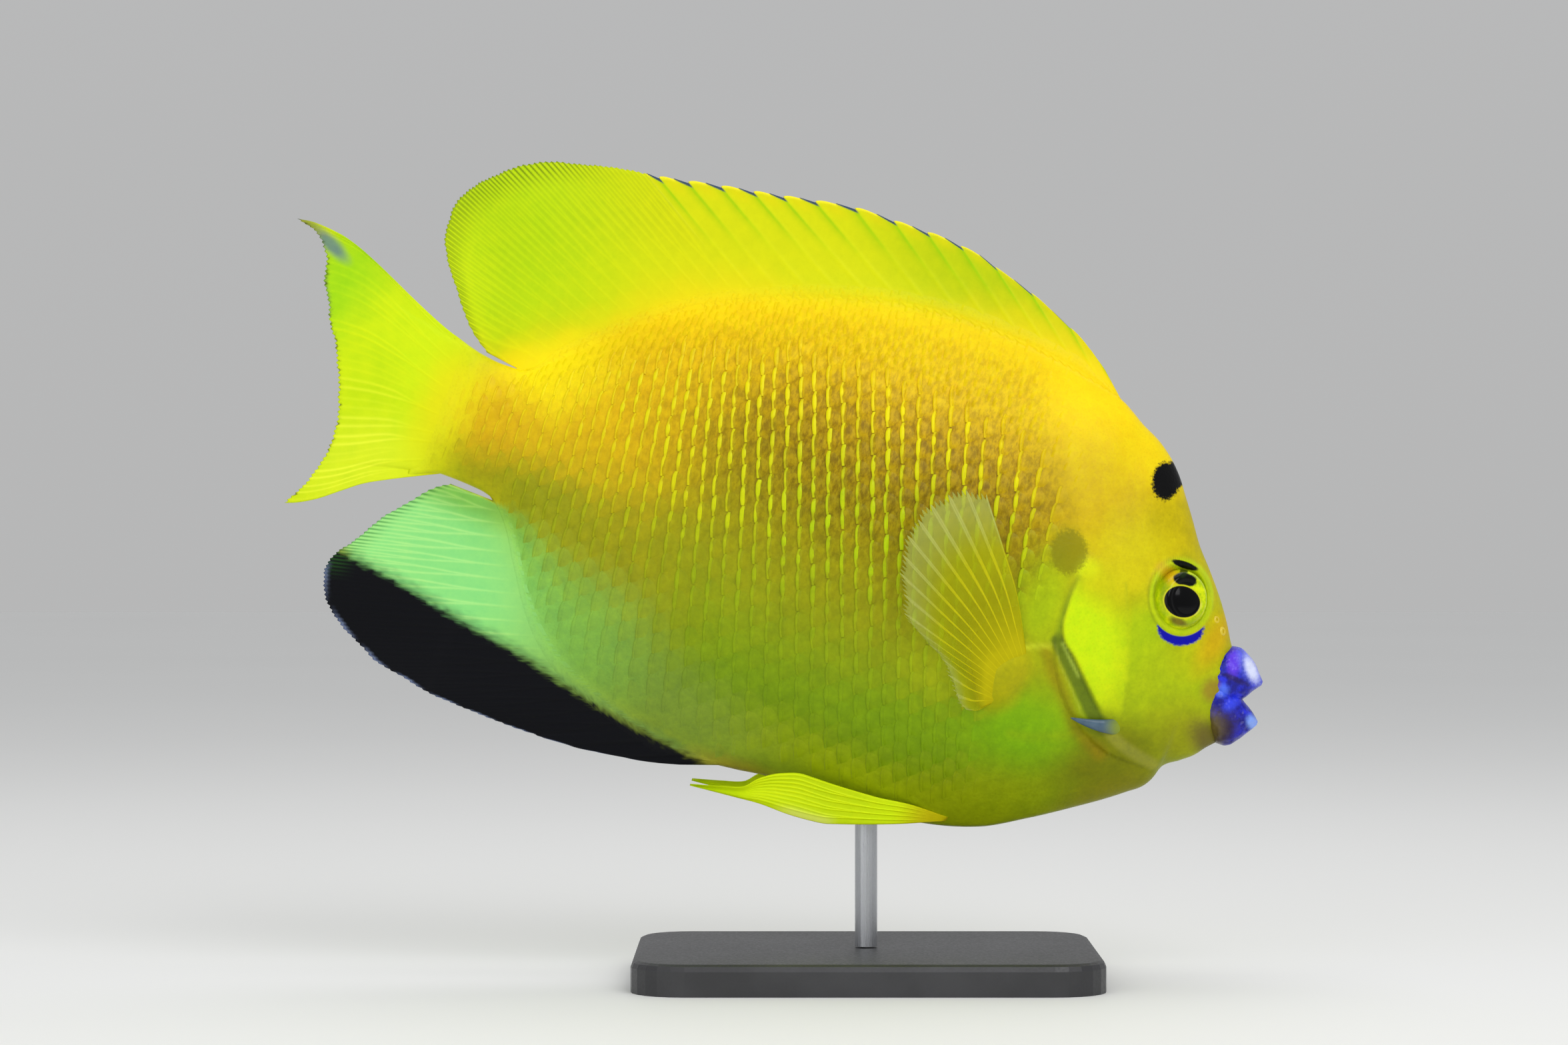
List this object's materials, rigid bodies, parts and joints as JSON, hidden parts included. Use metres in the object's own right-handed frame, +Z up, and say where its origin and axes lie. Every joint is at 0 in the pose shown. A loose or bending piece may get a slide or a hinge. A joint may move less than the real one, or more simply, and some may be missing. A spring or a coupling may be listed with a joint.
{
  "type": "flagfin angelfish model",
  "caption": "Life-size flagfin angelfish: a deep, flat body with rayed fins, small mouth and cheek spines, held nose down by a rod over a plain flat base.",
  "frame": {"origin": "middle of the model's footprint, on the floor under the stand's base", "axes": "+X the way the head points, +Y the fish's left side, +Z up"},
  "size_m": [0.22, 0.08, 0.1841],
  "materials": {
    "skin": "satin skin in yellow, ochre and lime with bright scale edges",
    "fin_membrane": "satin lime yellow membrane over fine rays",
    "anal_membrane": "satin pale green membrane with a broad black band",
    "lip": "satin deep blue",
    "eye": "glossy eye with a black pupil",
    "spine": "satin blue grey",
    "stand": "matte dark grey",
    "rod": "brushed"
  },
  "bodies": {
    "root": {"head": "skin", "gill_cover_right": "skin", "gill_cover_left": "skin", "torso": "skin", "tail_base": "skin", "dorsal_fin": "fin_membrane", "caudal_fin": "fin_membrane", "anal_fin": "anal_membrane", "pectoral_fin_right": "fin_membrane", "pectoral_fin_left": "fin_membrane", "pelvic_fin_right": "fin_membrane", "pelvic_fin_left": "fin_membrane", "upper_lip": "lip", "lower_jaw": "lip", "eye_right": "eye", "eye_left": "eye", "cheek_spine_right": "spine", "cheek_spine_left": "spine", "stand_base": "stand", "stand_rod": "rod"}
  },
  "joints": []
}
